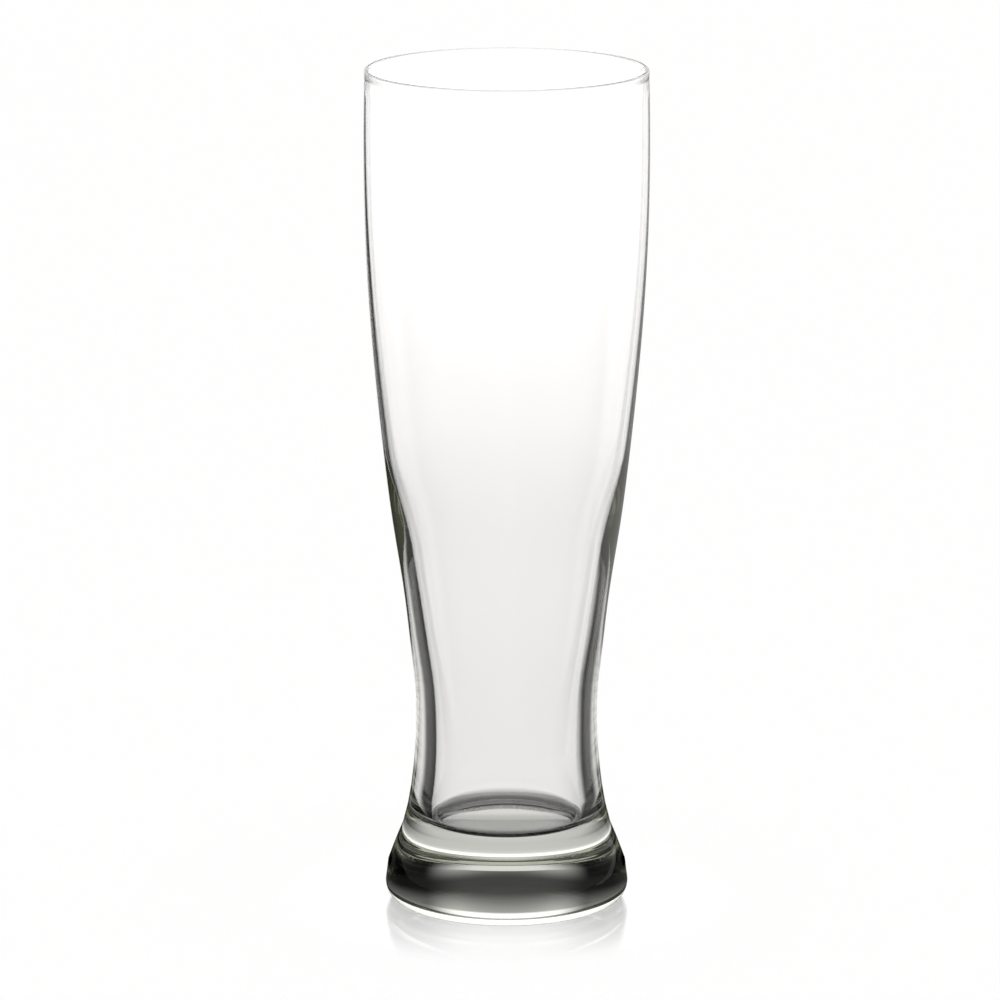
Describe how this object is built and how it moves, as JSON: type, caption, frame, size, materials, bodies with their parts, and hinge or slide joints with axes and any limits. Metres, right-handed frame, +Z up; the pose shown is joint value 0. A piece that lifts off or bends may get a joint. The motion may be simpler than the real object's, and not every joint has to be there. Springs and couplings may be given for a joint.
{
  "type": "pilsner glass",
  "caption": "Tall clear beer glass with a thick solid foot, a drawn-in heavy-walled waist, a thin flared bowl and a rounded lip.",
  "frame": {"origin": "on the glass's axis, in the plane of the flat ring that it stands on", "axes": "+Z up along the axis of revolution, from the foot to the lip; X and Y are alike"},
  "size_m": [0.0786, 0.0786, 0.235],
  "materials": {
    "clear_glass": "clear, fire-polished, with a faint green cast where it is thick"
  },
  "bodies": {
    "root": {"foot": "clear_glass", "waist": "clear_glass", "bowl": "clear_glass", "rim": "clear_glass"}
  },
  "joints": []
}
